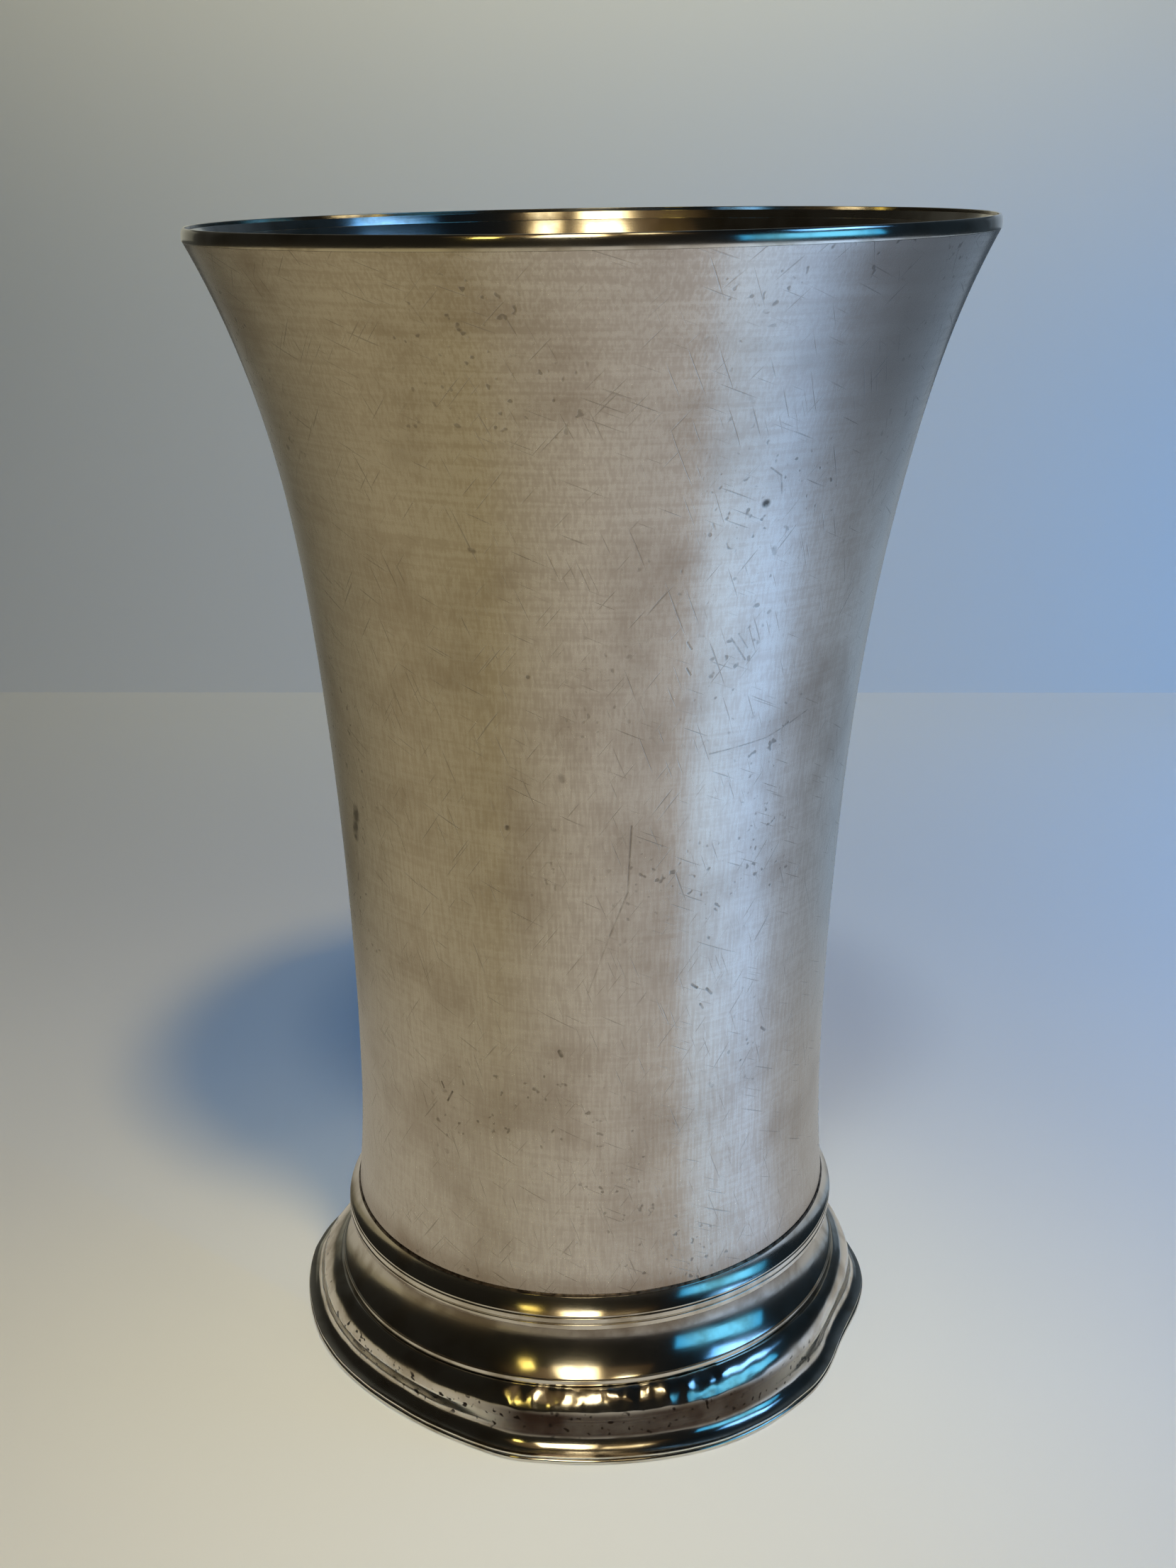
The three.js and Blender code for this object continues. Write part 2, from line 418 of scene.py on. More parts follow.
# %% Shared parts of the silver finishes
# The places on the cup are measured on a cylinder of this radius, near the wall's own
UNROLL_RADIUS = 40.0

# A Mix node keeps numbered sockets for colours: the share, the lower and upper colour, and the result
MIX_SHARE, MIX_UNDER, MIX_OVER = 0, 6, 7
MIX_RESULT = 2


def silver(name):
    """A new metal material, with its tree and its shader node."""
    material = bpy.data.materials.new(name)
    material.use_nodes = True
    shader = material.node_tree.nodes["Principled BSDF"]
    shader.inputs["Metallic"].default_value = 1.0
    return material, material.node_tree, shader


def stretched_noise(tree, length, spacing, upright=False, detail=2.0):
    """Hairlines: noise drawn out to a length one way, and to a spacing the other way, in millimetres."""
    round_scale, up_scale = 1 / (length * MM), 1 / (spacing * MM)
    if upright:
        round_scale, up_scale = up_scale, round_scale
    place = add_node(tree, "ShaderNodeTexCoord", output="Object")
    drawn = add_node(tree, "ShaderNodeMapping",
                     {"Vector": place, "Scale": (round_scale, round_scale, up_scale)})
    return add_node(tree, "ShaderNodeTexNoise", {"Vector": drawn, "Scale": 1.0, "Detail": detail})


def cloud(tree, size, detail):
    """Even noise with patches of about a size in millimetres."""
    place = add_node(tree, "ShaderNodeTexCoord", output="Object")
    return add_node(tree, "ShaderNodeTexNoise", {"Vector": place, "Scale": 1 / (size * MM), "Detail": detail})


def place_unrolled(tree):
    """Place on the cup as if it were unrolled: millimetres to the right of the front, and height."""
    place = add_node(tree, "ShaderNodeTexCoord", output="Object")
    x, y, z = add_node(tree, "ShaderNodeSeparateXYZ", [place], None).outputs
    forwards = add_node(tree, MATH, [y, -1.0], operation="MULTIPLY")
    turn = add_node(tree, MATH, [x, forwards], operation="ARCTAN2")
    across = add_node(tree, MATH, [turn, UNROLL_RADIUS], operation="MULTIPLY")
    height = add_node(tree, MATH, [z, 1 / MM], operation="MULTIPLY")
    return across, height


def laid_over(tree, colour, layers):
    """A colour with others laid over it in turn, each with its own share."""
    for share, next_colour in layers:
        sockets = {MIX_SHARE: share, MIX_UNDER: colour, MIX_OVER: linear(next_colour)}
        colour = add_node(tree, "ShaderNodeMix", sockets, MIX_RESULT, data_type="RGBA")
    return colour


def rubbed_round(tree, shader, share):
    """Rubbing round the cup spreads a reflection up and down much more than to the sides."""
    shader.inputs["Anisotropic"].default_value = share
    shader.inputs["Anisotropic Rotation"].default_value = 0.25
    tangent = add_node(tree, "ShaderNodeTangent", direction_type="RADIAL", axis="Z")
    tree.links.new(tangent, shader.inputs["Tangent"])


print("patterns are laid on the cup unrolled at a radius of", UNROLL_RADIUS, "mm")

# %% [markdown]
# Besides the hairlines, the wall carries single marks that can be told apart: pits, dings and scratches.
# Each is a straight stroke on the unrolled wall, from one point to another, and a pit is a stroke of next
# to no length. They could be painted on an image, but a node group keeps them sharp at any distance: it
# measures how far a point of the surface is from the stroke.

# %% A stroke on the wall
MARK_CORE = 0.3


def stroke_group():
    """A node group that is 1 on a stroke and fades to 0 at its edge."""
    tree = bpy.data.node_groups.new("stroke_on_wall", "ShaderNodeTree")
    for name, kind in (("Place", "Vector"), ("From", "Vector"), ("To", "Vector"), ("Width", "Float")):
        tree.interface.new_socket(name, in_out="INPUT", socket_type="NodeSocket" + kind)
    tree.interface.new_socket("Mark", in_out="OUTPUT", socket_type="NodeSocketFloat")
    given = add_node(tree, "NodeGroupInput", output=None).outputs
    along = add_node(tree, VECTOR_MATH, [given["To"], given["From"]], operation="SUBTRACT")
    away = add_node(tree, VECTOR_MATH, [given["Place"], given["From"]], operation="SUBTRACT")
    reach = add_node(tree, VECTOR_MATH, [away, along], "Value", operation="DOT_PRODUCT")
    full_reach = add_node(tree, VECTOR_MATH, [along, along], "Value", operation="DOT_PRODUCT")
    share = add_node(tree, MATH, [reach, full_reach], operation="DIVIDE")
    held = add_node(tree, "ShaderNodeClamp", [share])
    nearest = add_node(tree, VECTOR_MATH, {0: along, "Scale": held}, operation="SCALE")
    distance = add_node(tree, VECTOR_MATH, [away, nearest], "Value", operation="DISTANCE")
    half = add_node(tree, MATH, [given["Width"], 0.5], operation="MULTIPLY")
    core = add_node(tree, MATH, [half, MARK_CORE], operation="MULTIPLY")
    mark = add_node(tree, RANGE, [distance, core, half, 1.0, 0.0], **SOFT)
    add_node(tree, "NodeGroupOutput", {"Mark": mark}, None)
    return tree


stroke = stroke_group()
print("made the node group", stroke.name)

# %% [markdown]
# Every mark is then one node with its two ends and its width. Where marks meet, the darker one counts, so
# they are joined by taking the greater of the two, and not by adding.

# %% Single marks on the wall
# Degrees round the wall from the front and height in mm, at the start and at the end, then width in mm
# and darkness
WALL_MARKS = {
    "pit high on the right": (28.6, 138.2, 28.6, 138.2, 1.5, 0.9),
    "small pit under it": (31.7, 132.2, 31.9, 131.6, 1.0, 0.4),
    "pit left of the middle": (-16.4, 95.0, -16.4, 95.0, 1.1, 0.9),
    "low pit": (-6.6, 61.8, -6.2, 61.2, 0.9, 0.7),
    "pit on the upper left": (-19.8, 132.8, -19.3, 132.6, 0.9, 0.5),
    "pit by the middle": (-11.1, 116.4, -11.1, 116.4, 0.8, 0.5),
    "ding": (-5.5, 102.8, -5.3, 102.4, 1.3, 0.35),
    "dent at the left edge": (-60.2, 90.6, -62.0, 86.8, 3.0, 0.75),
    "curved scratch, upper part": (28.4, 142.7, 30.6, 141.6, 0.3, 0.35),
    "curved scratch, lower part": (30.6, 141.6, 31.3, 139.3, 0.3, 0.35),
    "hatch": (25.3, 120.8, 28.7, 117.6, 0.35, 0.4),
    "hatch beside it": (26.8, 121.2, 28.9, 119.2, 0.3, 0.35),
    "short scratch": (17.0, 120.8, 17.8, 119.9, 0.4, 0.5),
    "short scratch under it": (17.2, 117.3, 18.0, 116.4, 0.4, 0.5),
    "long bow, first part": (23.0, 105.0, 36.0, 105.9, 0.25, 0.35),
    "long bow, second part": (36.0, 105.9, 47.0, 108.3, 0.25, 0.35),
    "long dark scratch, top": (8.0, 95.7, 7.5, 86.0, 0.4, 0.45),
    "long dark scratch, middle": (7.5, 86.0, 4.0, 79.7, 0.4, 0.35),
    "long dark scratch, end": (4.0, 79.7, -0.4, 71.1, 0.3, 0.2),
    "nick": (22.0, 71.0, 23.2, 70.4, 0.6, 0.7),
    "nick right of it": (25.6, 69.9, 26.8, 69.0, 0.6, 0.7),
    "nick below": (24.2, 67.7, 24.9, 67.0, 0.5, 0.6),
    "nick far right": (41.6, 60.9, 42.8, 60.2, 0.6, 0.6),
    "slanting scratch low on the left": (-33.8, 50.7, -32.4, 52.4, 0.45, 0.7),
    "its short companion": (-35.4, 53.4, -34.8, 52.6, 0.45, 0.7),
}

# Rubbing has worn parts of every mark away, in patches of this size in mm
WORN_PATCH_SIZE = 1.3


def wall_marks(tree, place):
    """All the single marks together, from 0 on clean silver to 1 in the middle of a mark."""
    arc_per_degree = UNROLL_RADIUS * math.radians(1)
    marks = 0.0
    for start_turn, start_up, end_turn, end_up, width, darkness in WALL_MARKS.values():
        start = (start_turn * arc_per_degree, start_up, 0)
        end = (end_turn * arc_per_degree, end_up, 0)
        mark = add_node(tree, "ShaderNodeGroup", {"Place": place, "From": start, "To": end, "Width": width},
                        node_tree=stroke)
        shade = add_node(tree, MATH, [mark, darkness], operation="MULTIPLY")
        marks = add_node(tree, MATH, [shade, marks], operation="MAXIMUM")
    worn = add_node(tree, RANGE, [cloud(tree, WORN_PATCH_SIZE, 3.0), 0.34, 0.6, 0.45, 1.0], **SOFT)
    return add_node(tree, MATH, [marks, worn], operation="MULTIPLY")


print(len(WALL_MARKS), "single marks on the wall")

# %% [markdown]
# The wall is hand-rubbed satin: cloth and chalk were drawn over it both round and up, and two sets of
# hairlines cross on it. Pits lie together in a few places, and thin scratches run at three slants. One
# noise could give a grey that is merely uneven, so each of these is a pattern of its own.

# %% Lines, pits and scratches of the wall
# Lengths and spacings in mm. Real hairlines are finer than 0.1 mm, and are drawn coarser here so they show
UP_LINES = (4.5, 0.34)
ROUND_LINES = (16, 0.5)
GRAIN_SIZE = 0.8
PIT_SIZE = 1.1
PITTED_PLACE_SIZE = 26
SCRATCH_LENGTH = 9
SCRATCH_WIDTH = 0.3
SCRATCH_SLANTS = (24, -52, 68)
SCRATCH_DARKNESS = 0.28


def slanting_scratches(tree, place, slant):
    """Sparse thin scratches across the unrolled wall, at a slant in degrees."""
    turned = add_node(tree, "ShaderNodeVectorRotate", {"Vector": place, "Angle": math.radians(slant)},
                      rotation_type="Z_AXIS")
    drawn = add_node(tree, "ShaderNodeMapping",
                     {"Vector": turned, "Scale": (1 / SCRATCH_LENGTH, 1 / SCRATCH_WIDTH, 1.0)})
    noise = add_node(tree, "ShaderNodeTexNoise", {"Vector": drawn, "Scale": 1.0, "Detail": 1.0})
    return add_node(tree, RANGE, [noise, 0.68, 0.76, 0.0, SCRATCH_DARKNESS], **SOFT)


def rubbed_lines(tree, height):
    """Upright hairlines everywhere, level ones mostly near the rim, and a fine grain that breaks both."""
    up_lines = stretched_noise(tree, *UP_LINES, upright=True)
    round_lines = add_node(tree, MATH, [stretched_noise(tree, *ROUND_LINES), 0.5], operation="SUBTRACT")
    round_share = add_node(tree, RANGE, [height, 90, 160, 0.5, 0.9], **SOFT)
    grain = add_node(tree, MATH, [cloud(tree, GRAIN_SIZE, 2.0), 0.5], operation="SUBTRACT")
    crossed = add_node(tree, MATH, [round_lines, round_share, up_lines], operation="MULTIPLY_ADD")
    return add_node(tree, MATH, [grain, 0.4, crossed], operation="MULTIPLY_ADD")


def all_marks(tree, across, height):
    """Single marks, pits in a few places, and scratches at three slants."""
    place = add_node(tree, "ShaderNodeCombineXYZ", [across, height])
    pitting = add_node(tree, RANGE, [cloud(tree, PIT_SIZE, 1.0), 0.66, 0.75, 0.0, 0.45], **SOFT)
    pits = add_node(tree, RANGE, [cloud(tree, PITTED_PLACE_SIZE, 1.0), 0.5, 0.64, 0.0, pitting], **SOFT)
    marks = add_node(tree, MATH, [wall_marks(tree, place), pits], operation="MAXIMUM")
    for slant in SCRATCH_SLANTS:
        scratches = slanting_scratches(tree, place, slant)
        marks = add_node(tree, MATH, [marks, scratches], operation="MAXIMUM")
    return marks


print("scratches slant at", ", ".join(str(slant) for slant in SCRATCH_SLANTS), "degrees")

# %% [markdown]
# Bare metal is a warm light grey. Brownish tarnish lies in clouds and gathers under the lip, where cloths
# reach least, and along the seam. The upper right is painted darker and greyer: that is painted shade, for
# the dimmer surroundings it mirrors there. All of it is laid over the metal's colour, while pits and
# scratches are also rougher and cut into the surface.

# %% Satin silver of the wall
TARNISH_CLOUD_SIZE = 13
SMEARS = (22, 2.2)

# Where tarnish and the painted shade lie: heights in mm, and distances round the wall to the right of the
# front
UNDER_LIP = (135, 163)
ABOVE_SEAM = (23, 27)
RIGHT_HALF = (-5, 45)
PAINTED_SHADE_HEIGHTS = (122, 158)
PAINTED_SHADE_ACROSS = (8, 36)
BEFORE_BACK = (62, 100)

RELIEF_DEPTH = 0.000006
MARK_DEPTH = -5.0
MARK_ROUGHNESS = 0.2


def wall_tarnish(tree, across, height, before_back):
    """Tarnish in clouds, in level smears under the lip, and along the seam."""
    patches = add_node(tree, RANGE, [cloud(tree, TARNISH_CLOUD_SIZE, 7.0), 0.42, 0.74, 0.0, 0.42], **SOFT)
    smears = add_node(tree, RANGE, [stretched_noise(tree, *SMEARS, detail=5.0), 0.35, 0.65, 0.3, 1.0], **SOFT)
    on_right = add_node(tree, RANGE, [across, *RIGHT_HALF, 0.0, before_back], **SOFT)
    lip_share = add_node(tree, RANGE, [on_right, 0.0, 1.0, 0.15, 0.4], **SOFT)
    under_lip = add_node(tree, RANGE, [height, *UNDER_LIP, 0.0, lip_share], **SOFT)
    seam = add_node(tree, RANGE, [height, *ABOVE_SEAM, 0.45, 0.0], **SOFT)
    clouds_and_lip = add_node(tree, MATH, [under_lip, smears, patches], operation="MULTIPLY_ADD")
    return add_node(tree, MATH, [clouds_and_lip, seam], operation="ADD")


def satin_wall_silver():
    """Soft bright bands run up the wall, broken by lines, clouds and marks."""
    material, tree, shader = silver("satin_rubbed_old_silver")
    across, height = place_unrolled(tree)
    lines = rubbed_lines(tree, height)
    marks = all_marks(tree, across, height)

    # The painted shade of the upper right darkens smoothly, and ends before the back
    before_back = add_node(tree, RANGE, [across, *BEFORE_BACK, 1.0, 0.0], **SOFT)
    painted_shade_side = add_node(tree, RANGE, [across, *PAINTED_SHADE_ACROSS, 0.0, 0.85], **SOFT)
    painted_shade_part = add_node(tree, MATH, [painted_shade_side, before_back], operation="MULTIPLY")
    painted_shade = add_node(tree, RANGE, [height, *PAINTED_SHADE_HEIGHTS, 0.0, painted_shade_part], **SOFT)

    tarnish = wall_tarnish(tree, across, height, before_back)
    line_share = add_node(tree, RANGE, [lines, 0.3, 0.7], **SOFT)
    mark_share = add_node(tree, MATH, [marks, 0.9], operation="MULTIPLY")
    # The grey laid over the upper right is painted shade
    layers = [(line_share, "#dbd5cd"), (tarnish, "#8f7d6c"), (painted_shade, "#7f7d7b"), (mark_share, "#3a3029")]
    tree.links.new(laid_over(tree, linear("#c8c0b7"), layers), shader.inputs["Base Color"])

    satin = add_node(tree, RANGE, [lines, 0.3, 0.7, 0.21, 0.28], **SOFT)
    roughness = add_node(tree, MATH, [marks, MARK_ROUGHNESS, satin], operation="MULTIPLY_ADD")
    tree.links.new(roughness, shader.inputs["Roughness"])
    relief = add_node(tree, MATH, [marks, MARK_DEPTH, lines], operation="MULTIPLY_ADD")
    bump = add_node(tree, "ShaderNodeBump", {"Height": relief, "Strength": 1.0, "Distance": RELIEF_DEPTH})
    tree.links.new(bump, shader.inputs["Normal"])
    rubbed_round(tree, shader, 0.85)
    return material


satin_silver = satin_wall_silver()
print("made", satin_silver.name)

# %% [markdown]
# The lower moulding has been knocked most: at its front it has small dents, which break up the reflection
# of the lamp, and brown tarnish and pits lie on its band. In the cove of the upper moulding, tarnish has
# gathered under the fillets, where a cloth doesn't reach. Each is a small function, so that a finish can
# take the ones it needs. Their edges are heights and distances round the foot in millimetres.

# %% Stains and dents of the foot
PATCH_SIZE = 6
DENT_SIZE = 4.5
DENT_DEPTH = 0.0006
BAND_CLOUD_SIZE = 5
BAND_PIT_SIZE = 1.0
BAND_RISES = (2.5, 3.3)
BAND_ENDS = (6.2, 7.4)


def dents_on_ovolo(tree):
    """Small dents at the front of the ovolo."""
    across, height = place_unrolled(tree)
    right_end = add_node(tree, RANGE, [across, 14, 30, 1.0, 0.0], **SOFT)
    at_front = add_node(tree, RANGE, [across, -24, -8, 0.0, right_end], **SOFT)
    on_ovolo = add_node(tree, RANGE, [height, 5.6, 7.0, 0.0, at_front], **SOFT)
    dents = add_node(tree, MATH, [on_ovolo, cloud(tree, DENT_SIZE, 1.5)], operation="MULTIPLY")
    return add_node(tree, MATH, [dents, DENT_DEPTH], operation="MULTIPLY")


def on_band(tree, height):
    """The upright band of the lower moulding, with a little of the hollow under it."""
    upper_end = add_node(tree, RANGE, [height, *BAND_ENDS, 1.0, 0.0], **SOFT)
    return add_node(tree, RANGE, [height, *BAND_RISES, 0.0, upper_end], **SOFT)


def brown_on_band(tree):
    """Tarnish on the front of the band, nearly solid."""
    across, height = place_unrolled(tree)
    right_end = add_node(tree, RANGE, [across, 20, 44, 1.0, 0.0], **SOFT)
    at_front = add_node(tree, RANGE, [across, -20, -8, 0.0, right_end], **SOFT)
    density = add_node(tree, RANGE, [cloud(tree, BAND_CLOUD_SIZE, 4.0), 0.3, 0.7, 0.88, 1.0], **SOFT)
    stained = add_node(tree, MATH, [at_front, on_band(tree, height)], operation="MULTIPLY")
    return add_node(tree, MATH, [stained, density], operation="MULTIPLY")


def pits_on_band(tree):
    """Dark pits all round the band."""
    _, height = place_unrolled(tree)
    specks = cloud(tree, BAND_PIT_SIZE, 1.0)
    return add_node(tree, RANGE, [specks, 0.62, 0.7, 0.0, on_band(tree, height)], **SOFT)


def brown_in_cove(tree):
    """Tarnish in the upper part of the cove, which stops at the fillets."""
    _, height = place_unrolled(tree)
    upper_end = add_node(tree, RANGE, [height, neck_top - 1.9, neck_top - 1.7, 1.0, 0.0], **SOFT)
    in_cove = add_node(tree, RANGE, [height, neck_top - 7.0, neck_top - 3.5, 0.0, upper_end], **SOFT)
    density = add_node(tree, RANGE, [cloud(tree, PATCH_SIZE, 5.0), 0.3, 0.7, 0.55, 0.85], **SOFT)
    return add_node(tree, MATH, [in_cove, density], operation="MULTIPLY")


band_stains = [(brown_on_band, "#3a2d26"), (pits_on_band, "#241d18")]
cove_stains = [(brown_in_cove, "#6b5c4d")]
print(len(band_stains), "stains on the band and", len(cove_stains), "in the cove")

# %% [markdown]
# The foot, the lip and the inside are polished, so they mirror the room, with a little blur from centuries
# of cleaning. One function makes the polished metal and lays on it the stains and dents that it is given,
# so that the three polished finishes stay alike in everything else.

# %% Polished silver
HAIRLINES = (6, 0.4)
HAIRLINE_DEPTH = 0.000004


def polished_silver_finish(name, stains=(), dents=None):
    """A mirror, a little blurred up and down, with faint warm patches and what has stained it."""
    material, tree, shader = silver(name)
    patches = cloud(tree, PATCH_SIZE, 5.0)
    patch_share = add_node(tree, RANGE, [patches, 0.4, 0.72], **SOFT)
    layers = [(patch_share, "#b0a695")] + [(stain(tree), brown) for stain, brown in stains]
    tree.links.new(laid_over(tree, linear("#dad5ca"), layers), shader.inputs["Base Color"])
    roughness = add_node(tree, RANGE, [patches, 0.3, 0.8, 0.11, 0.19], **SOFT)
    tree.links.new(roughness, shader.inputs["Roughness"])

    hairlines = stretched_noise(tree, *HAIRLINES)
    hollows = dents(tree) if dents else 0.0
    relief = add_node(tree, MATH, [hairlines, HAIRLINE_DEPTH, hollows], operation="MULTIPLY_ADD")
    bump = add_node(tree, "ShaderNodeBump", {"Height": relief, "Strength": 1.0, "Distance": 1.0})
    tree.links.new(bump, shader.inputs["Normal"])
    rubbed_round(tree, shader, 0.75)
    return material


polished_silver = polished_silver_finish("polished_old_silver")
battered_silver = polished_silver_finish("polished_old_silver_with_small_dents", band_stains, dents_on_ovolo)
cove_silver = polished_silver_finish("polished_old_silver_brown_under_fillets", cove_stains)
print("made", ", ".join(finish.name for finish in (polished_silver, battered_silver, cove_silver)))

# %% [markdown]
# The solder was left as it ran, so it is dull and lumpy, and grime has settled in it. It shows as a dark
# line. A flat dark colour would look like paint, so a fine cloud drives its colour, gloss and relief alike.

# %% Tarnished solder
GRIME_SIZE = 1.2
GRIME_DEPTH = 0.00008


def dark_solder():
    """A dull dark line without clear reflections."""
    material, tree, shader = silver("tarnished_silver_solder")
    grime = cloud(tree, GRIME_SIZE, 4.0)
    share = add_node(tree, RANGE, [grime, 0.35, 0.7], **SOFT)
    colour = laid_over(tree, linear("#7a6c5f"), [(share, "#332b25")])
    roughness = add_node(tree, RANGE, [grime, 0.3, 0.7, 0.35, 0.6], **SOFT)
    bump = add_node(tree, "ShaderNodeBump", {"Height": grime, "Strength": 1.0, "Distance": GRIME_DEPTH})
    for output, name in ((colour, "Base Color"), (roughness, "Roughness"), (bump, "Normal")):
        tree.links.new(output, shader.inputs[name])
    return material


solder = dark_solder()
print("made", solder.name)

# %% [markdown]
# The wall is one raised sheet. Below the collar it is straight, then it draws in to a waist and flares to
# the mouth. A free curve through points would do, but a rule keeps it fair: the flare is the sum of an even
# part, which spreads up the whole wall, and a part with a high power, which only turns out near the mouth.

# %% The wall
WALL_THICKNESS = 0.9
BASE_RADIUS = 37.6
WAIST_RADIUS = 36.6
WAIST_HEIGHT = 43.0
EVEN_FLARE = 0.635
MOUTH_FLARE_POWER = 6
OUTSIDE_ROWS = 170
INSIDE_ROWS = 60
HAMMERED = (0.1, 34, 1.0)

straight_top = top("collar_solder")


def wall_radius(z):
    """Outside of the wall at a height."""
    if z <= straight_top:
        return BASE_RADIUS
    if z <= WAIST_HEIGHT:
        below = (WAIST_HEIGHT - z) / (WAIST_HEIGHT - straight_top)
        return WAIST_RADIUS + (BASE_RADIUS - WAIST_RADIUS) * below ** 2
    above = (z - WAIST_HEIGHT) / (wall_top - WAIST_HEIGHT)
    flare = EVEN_FLARE * above ** 2 + (1 - EVEN_FLARE) * above ** MOUTH_FLARE_POWER
    return WAIST_RADIUS + (mouth_radius - WAIST_RADIUS) * flare


def wall_bore(z):
    """Inside of the wall, with the sheet's thickness measured square to it."""
    step = 0.01
    slope = (wall_radius(z) - wall_radius(z - step)) / step
    return wall_radius(z) - WALL_THICKNESS * math.hypot(1, slope)


def heights(rows):
    """Even heights from the wall's lower edge to its upper edge."""
    return [wall_bottom + (wall_top - wall_bottom) * i / rows for i in range(rows + 1)]


wall_section = [(wall_radius(z), z) for z in heights(OUTSIDE_ROWS)]
wall_section += [(wall_bore(z), z) for z in reversed(heights(INSIDE_ROWS))]
raised_wall = turned_piece("raised_wall", wall_section, satin_silver, "body_wall",
                           wear=0.05, uneven=HAMMERED, seed=3)

# %% [markdown]
# A wire caps the wall's raw edge. Outside it stands out a hair and is rounded, because that is what a
# drinker feels. Inside it carries on the slope of the wall, so no step shows there. The inside of the wall
# is smoother than the outside, and its faces, which look towards the axis, get the polished finish.

# %% The lip, and the inside of the wall
LIP_OVERHANG = 0.12
LIP_ROUND = 0.4
LIP_INSIDE_SHARE = 0.7
LIP_STEPS = 24

lip_height = top("lip_wire") - wall_top
lip_bore = wall_bore(wall_top)
lip_flare = wall_radius(wall_top) - wall_radius(wall_top - 1)
lip_inside_height = LIP_INSIDE_SHARE * lip_height
lip_section = arc(mouth_radius + LIP_OVERHANG - LIP_ROUND, wall_top + lip_height / 3,
                  LIP_ROUND, lip_height * 2 / 3, -30, 110, LIP_STEPS)
lip_section += [(lip_bore + lip_flare * lip_inside_height, wall_top + lip_inside_height)]
lip_section += [(lip_bore, wall_top)]
turned_piece("lip_half_round", lip_section, polished_silver, "lip_wire",
             wear=0.05, uneven=HAMMERED, seed=3)

raised_wall.data.materials.append(polished_silver)
inside_faces = [face for face in raised_wall.data.polygons if face.normal.xy.dot(face.center.xy) < 0]
for face in inside_faces:
    face.material_index = len(raised_wall.data.materials) - 1
print("polished faces inside the wall:", len(inside_faces))

# %% [markdown]
# The floor is a disc let into the wall, and a fillet of solder runs round inside it. The fillet was
# polished with the rest of the inside, so it gets the polished finish and not the dark one. The disc's
# section is an open line that starts and ends on the axis, and the welding closes its two poles.

# %% The floor
SOLDER_FILM = 0.1
FLOOR_SOLDER_LEG = 1.5
FLOOR_RINGS = 24

floor_bottom = bottom("floor_plate")
floor_top = top("floor_plate")
floor_radius = outside("floor_plate")
floor_rings = [floor_radius * i / FLOOR_RINGS for i in range(FLOOR_RINGS + 1)]
floor_section = [(r, floor_bottom) for r in floor_rings] + [(r, floor_top) for r in reversed(floor_rings)]
turned_piece("floor_disc", floor_section, polished_silver, "floor_plate", closed=False)

bore_radius = BASE_RADIUS - WALL_THICKNESS
fillet_top = floor_top + FLOOR_SOLDER_LEG
floor_fillet = [(bore_radius, floor_top), (bore_radius, fillet_top)]
floor_fillet += arc(bore_radius - FLOOR_SOLDER_LEG, fillet_top,
                    FLOOR_SOLDER_LEG, FLOOR_SOLDER_LEG, 0, -90)[1:]
turned_piece("floor_solder_fillet", floor_fillet, polished_silver, "floor_solder", wear=0.02)

# %% [markdown]
# Where the wall meets the foot a small ring covers the joint. Its face is a slope, a little hollow, that
# spreads down to an edge. A thin run of solder shows above it as a dark line.

# %% The collar and its solder
COLLAR_SHOULDER = 0.15
COLLAR_EDGE = 0.25
COLLAR_HOLLOW = 0.2

sleeve_radius = BASE_RADIUS + SOLDER_FILM
shoulder_radius = sleeve_radius + COLLAR_SHOULDER
collar_bottom = bottom("collar_ring")
collar_top = top("collar_ring")
collar_radius = outside("collar_ring")
collar_edge = Vector((collar_radius, collar_bottom + COLLAR_EDGE))
collar_shoulder = Vector((shoulder_radius, collar_top))
collar_pull = (collar_edge + collar_shoulder) / 2 - Vector((COLLAR_HOLLOW, COLLAR_HOLLOW))
collar_section = [(sleeve_radius, collar_bottom), (collar_radius, collar_bottom)]
collar_section += bow(collar_edge, collar_pull, collar_shoulder)
collar_section += [(sleeve_radius, collar_top)]
turned_piece("collar_hollow_ring", collar_section, polished_silver, "collar_ring",
             wear=0.06, uneven=(0.06, 10, 1.0), seed=5)

collar_run = [(BASE_RADIUS, collar_top), (shoulder_radius, collar_top), (BASE_RADIUS, straight_top)]
turned_piece("collar_solder_run", collar_run, solder, "collar_solder",
             wear=0.05, uneven=(0.04, 5, 1.0), seed=6)

# %% [markdown]
# The foot is two strips of moulding, drawn through dies, bent round and soldered one on the other. The
# upper one has two fillets with a groove between them, then a hollow cove, then a small fillet. Its back
# follows the cove at an even thickness, as a drawn strip does, and a ledge inside it carries the wall.

# %% The upper moulding
STRIP_THICKNESS = 0.9
NECK_THICKNESS = 1.6
NECK_FILLET_HEIGHT = 0.75
NECK_GROOVE_HEIGHT = 0.3
NECK_GROOVE_DEPTH = 0.35
COVE_FLARE = 3.4
COVE_STEPS = 26
LOWER_FILLET_HEIGHT = 0.9
LEDGE_THICKNESS = 0.75
FLOOR_REST = 0.9

upper_bottom = bottom("upper_foot_moulding")
lower_fillet_radius = outside("upper_foot_moulding")
neck_radius = sleeve_radius + NECK_THICKNESS
ledge_radius = floor_radius - FLOOR_REST
groove_top = neck_top - NECK_FILLET_HEIGHT
groove_bottom = groove_top - NECK_GROOVE_HEIGHT
cove_top = groove_bottom - NECK_FILLET_HEIGHT
cove_bottom = upper_bottom + LOWER_FILLET_HEIGHT
cove_height = cove_top - cove_bottom
ledge_top = cove_top + LEDGE_THICKNESS

